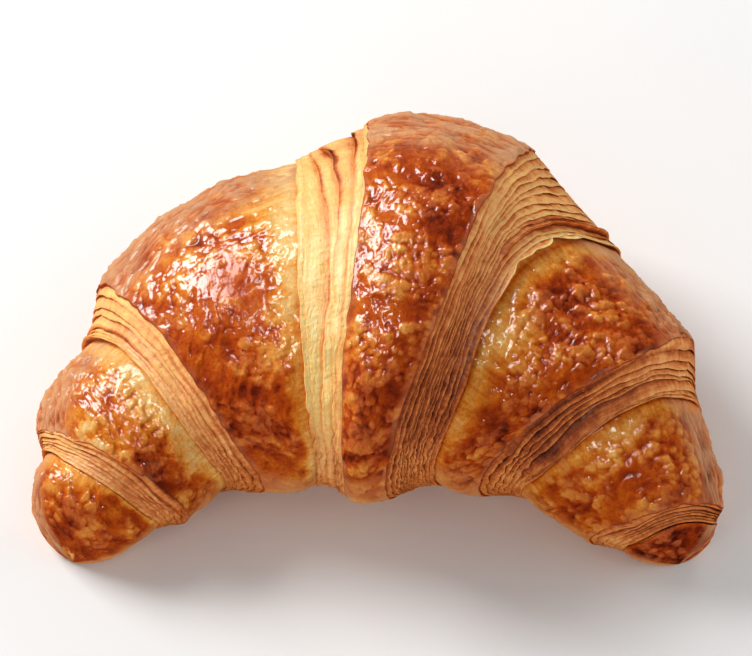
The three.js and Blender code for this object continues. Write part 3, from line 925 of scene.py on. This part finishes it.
# A patch or dull spot is: degrees round, share of the way out, its reach round and along in mm, and how
# much darker it is or how much glaze it lacks. A crack is: its corners in degrees and share of the way
# out, its width and depth in mm, and how much darker its painted shade makes it.
turnLooks = {
    "middle": {"tone": 0.65, "wrinkle": 1.5, "clustered": 0.3, "blisters": 1.4, "matteTops": 0.25,
               "patches": [(104, 0.8, 14, 6, 0.1), (30, 0.5, 12, 9, 0.16), (92, 0.84, 6, 3, 0.2),
                           (68, 0.86, 8, 3.5, 0.14), (42, 0.95, 12, 6, 0.08), (95, 0.12, 22, 5, -0.1),
                           (110, 0.75, 8, 4, 0.08)]},
    ("left", 0): {"tone": 0.65, "rimStretch": 0.9, "pale": 4.5, "paleTone": 0.05, "wrinkle": 1.3,
                  "rough": 1.1, "topPalenessAndLight": 0.15, "blisters": 0.8, "matteTops": 0.1, "creaseShadeTone": 0.12,
                  "paleReach": ((20, 60, 80, 92, 108, 125), (0.5, 1.2, 1.5, 2.0, 3.6, 2.4)),
                  # The lighter patch at 104 degrees paints the crust paler where this shoulder's highlights
                  # fall, a painted light.
                  "patches": [(52, 0.72, 14, 8, 0.1), (60, 0.3, 9, 3.5, -0.08),
                              (50, 0.05, 14, 5, 0.2), (104, 0.68, 9, 7, -0.1)],
                  "dull": [(86, 0.42, 8, 5, 0.75), (66, 0.55, 10, 6, 0.4)],
                  "cracks": [([(30, 0.9), (22, 0.8)], 0.5, 0.4, 0.15)]},
    ("right", 0): {"tone": 0.69, "rimDegrees": 130, "pale": 4, "wrinkle": 2.2, "rough": 1.5,
                   "clustered": 0.24, "blisters": 1.7, "matteTops": 0.1, "topPalenessAndLight": 0.18,
                   "creaseShadeTone": 0.36, "creaseShadeReach": 1.3,
                   "paleReach": ((20, 60, 85, 115), (0.7, 1.7, 2.0, 1.1)), "paleTone": 0.14,
                   "patches": [(107, 0.35, 6, 5, 0.04), (35, 0.68, 8, 6, 0.12), (120, 0.8, 9, 8, 0.1),
                               (135, 0.4, 9, 9, -0.1), (70, 0.3, 9, 3, -0.12)]},
    ("left", 1): {"tone": 0.6, "rimStretch": 1.0, "pale": 5, "paleTone": 0.12, "wrinkle": 1.3, "rough": 1.3,
                  "creaseShadeTone": 0.12, "matteTops": 0.15,
                  "paleReach": ((20, 60, 85, 120), (0.5, 1.0, 1.4, 1.3)),
                  # The lighter patch at 88 degrees near the end is a painted highlight.
                  "patches": [(50, 0.86, 9, 5, 0.24), (100, 0.7, 8, 5, -0.16), (88, 0.95, 5, 4, -0.16)]},
    ("right", 1): {"tone": 0.63, "rimDegrees": 130, "pale": 3.6, "wrinkle": 2.0, "rough": 1.5,
                   "clustered": 0.24, "blisters": 1.7, "matteTops": 0.1, "creaseShadeReach": 1.2,
                   "paleReach": ((20, 60, 85, 120), (0.6, 1.4, 1.6, 0.8)), "paleTone": 0.2,
                   "patches": [(140, 0.5, 9, 8, 0.18)]},
    ("left", 2): {"tone": 0.72, "rimStretch": 0.8, "rimDegrees": 140, "pale": 2.6, "wrinkle": 1.3,
                  "rough": 1.7, "clustered": 0.2, "blisters": 1.4,
                  "paleReach": ((30, 90, 130), (0.4, 1.0, 1.6)), "creaseShadeTone": 0.12,
                  # The lighter patch at 95 degrees by the tip is a painted highlight.
                  "paleTone": 0.18, "patches": [(75, 0.7, 5, 4, -0.14), (95, 0.96, 3, 2.5, -0.35)],
                  "cracks": [([(118, 0.84), (96, 0.85), (70, 0.88), (45, 0.88)], 0.55, 0.5, 0.2)]},
    ("right", 2): {"tone": 0.88, "rimDegrees": 142, "pale": 1.2, "wrinkle": 1.3, "rough": 1.5,
                   "paleReach": ((30, 90), (1, 1)), "paleTone": 0.4},
}
turnNames = ["Shoulder", "Outer", "Horn"]
meshSizes = [(560, 110), (440, 74), (320, 74)]  # columns round a turn and rows along it
middleEnds = (leftArm["lips"][0], middleCrown, rightArm["lips"][0])
pieces = [crustPiece("MiddleCrust", middleEnds, turnLooks["middle"])]
for arm in (leftArm, rightArm):
    for seam in range(3):
        key = (arm["side"], seam)
        columns, rows = meshSizes[seam]
        label = arm["side"].capitalize() + turnNames[seam]
        pieces.append(fanPiece(label + "Leaves", arm, seam, fans[key], columns))
        foot, crown, last = turnEnds(arm, seam)
        ends = (narrowed(foot, shape["flapGap"]), crown, last)
        pieces.append(crustPiece(label + "Crust", ends, turnLooks[key], arm, seam, columns, rows))
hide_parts("croissant")
print("croissant made")

# A pale table and plain soft light, the key from the upper left behind the croissant
stage = {"size": 3.0, "colour": "#f4f3f1", "roughness": 0.8, "skyLight": 0.22}
table = bmesh.new()
bmesh.ops.create_grid(table, x_segments=1, y_segments=1, size=stage["size"] / 2)
tableMesh = bpy.data.meshes.new("Table")
table.to_mesh(tableMesh)
table.free()
tableFinish, tableTree = newFinish("PaleTable")
tableSurface = addNode(tableTree, "ShaderNodeBsdfPrincipled", {"Base Color": linear(stage["colour"]),
                                                                "Roughness": stage["roughness"]})
addNode(tableTree, "ShaderNodeOutputMaterial", {"Surface": tableSurface.outputs["BSDF"]})
tableMesh.materials.append(tableFinish)
tableTop = bpy.data.objects.new("Table", tableMesh)
bpy.context.scene.collection.objects.link(tableTop)
tableTop.visible_glossy = False

# Soft lamps light the croissant, and panels are seen only in its glaze.
lights = {
    "Key": {"from": (-0.68, 0.45, 0.65), "size": 0.42, "power": 10.5, "use": "lighting"},
    "SideFill": {"from": (0.95, 0.1, 0.42), "size": 0.9, "power": 3.6, "use": "lighting"},
    "FrontFill": {"from": (0.2, -1.0, 0.35), "size": 0.8, "power": 2.2, "use": "lighting"},
    "LeftFill": {"from": (-0.8, -0.75, 0.3), "size": 0.6, "power": 2.4, "use": "lighting"},
    "BackFill": {"from": (0.5, 0.95, 0.6), "size": 0.6, "power": 2.4, "use": "lighting"},
    "BackPanel": {"from": (-0.6, 0.43, 0.62), "size": 0.42, "power": 9.5, "use": "shine"},
    "MiddlePanel": {"from": (-0.2, 0.56, 0.8), "size": 0.26, "power": 3.4, "use": "shine"},
    "CrownPanel": {"from": (-0.08, -0.2, 0.97), "size": 0.22, "power": 2.2, "use": "shine"},
    "TopPanel": {"from": (-0.5, 0.12, 0.86), "size": 0.22, "power": 2.8, "use": "shine"},
}
for name, light in lights.items():
    lampData = bpy.data.lights.new(name, "AREA")
    lampData.shape = "SQUARE"
    lampData.size = light["size"]
    lampData.energy = light["power"]
    lamp = bpy.data.objects.new(name, lampData)
    lamp.location = light["from"]
    lamp.visible_glossy = light["use"] == "shine"
    lamp.visible_diffuse = light["use"] == "lighting"
    lamp.rotation_euler = Vector(light["from"]).to_track_quat("Z", "Y").to_euler()
    bpy.context.scene.collection.objects.link(lamp)

world = bpy.data.worlds.new("Studio")
world.use_nodes = True
background = world.node_tree.nodes["Background"]
background.inputs["Color"].default_value = (1, 1, 1, 1)
background.inputs["Strength"].default_value = stage["skyLight"]
world.cycles_visibility.glossy = False
bpy.context.scene.world = world
bpy.context.scene.view_settings.view_transform = "Standard"
print("table and lights made")
